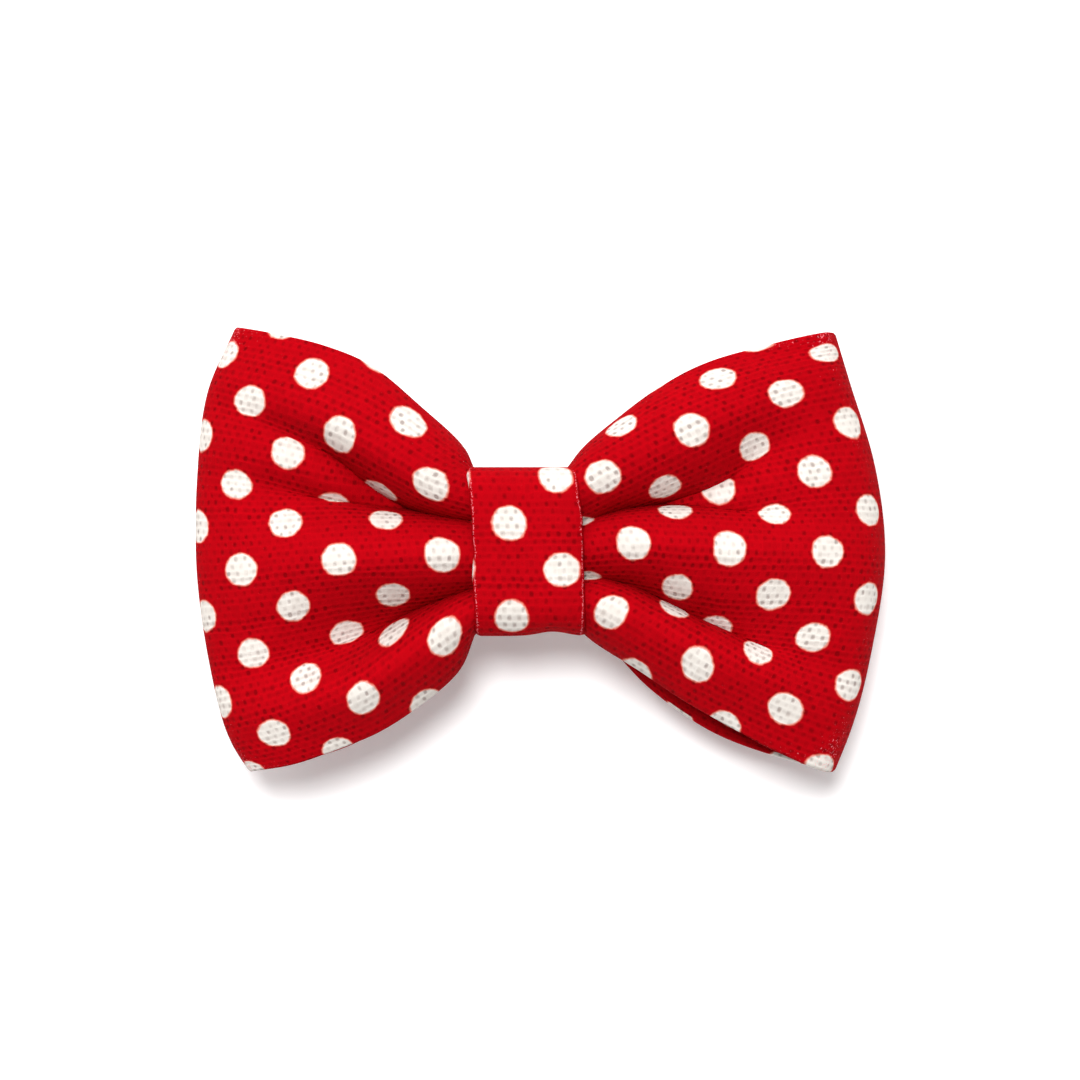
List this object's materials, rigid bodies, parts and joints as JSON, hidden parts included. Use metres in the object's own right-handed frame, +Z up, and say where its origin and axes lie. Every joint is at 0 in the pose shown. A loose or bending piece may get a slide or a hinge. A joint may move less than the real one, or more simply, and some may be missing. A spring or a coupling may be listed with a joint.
{
  "type": "bow tie",
  "caption": "Small clip-on bow tie: a looped and pleated cotton bow held by a flat centre band, with a sprung metal clip behind it.",
  "frame": {"origin": "on the clip's grip plane, behind the middle of the bow", "axes": "+Z up as worn, the bow's front faces -Y, +X to the right seen from the front; +Y points at the wearer"},
  "size_m": [0.0758, 0.0203, 0.0496],
  "materials": {
    "red_cotton": "plain-woven cotton, red with white spots",
    "interlining": "matt non-woven",
    "red_thread": "sewing thread",
    "nickelled_steel": "nickel-plated, satin"
  },
  "bodies": {
    "bow": {"bow_cloth": "red_cotton", "bow_interlining": "interlining", "waist_thread": "red_thread", "centre_band": "red_cotton", "band_stitches": "red_thread", "clip_tack_left_lower": "red_thread", "clip_tack_left_upper": "red_thread", "clip_tack_right_lower": "red_thread", "clip_tack_right_upper": "red_thread", "clip_base_jaw": "nickelled_steel", "clip_pivot_pin": "nickelled_steel", "clip_spring": "nickelled_steel"},
    "lever": {"clip_lever_jaw": "nickelled_steel"}
  },
  "joints": [
    {"name": "clip_hinge", "type": "hinge", "parent": "bow", "child": "lever", "pos_m": [-0.0105, 0.0026, 0], "axis": [0, 0, 1], "range_deg": [0, 30], "stiffness_Nm_per_rad": 0.01, "springref_deg": -20.05, "deforming": ["clip_spring"]}
  ]
}
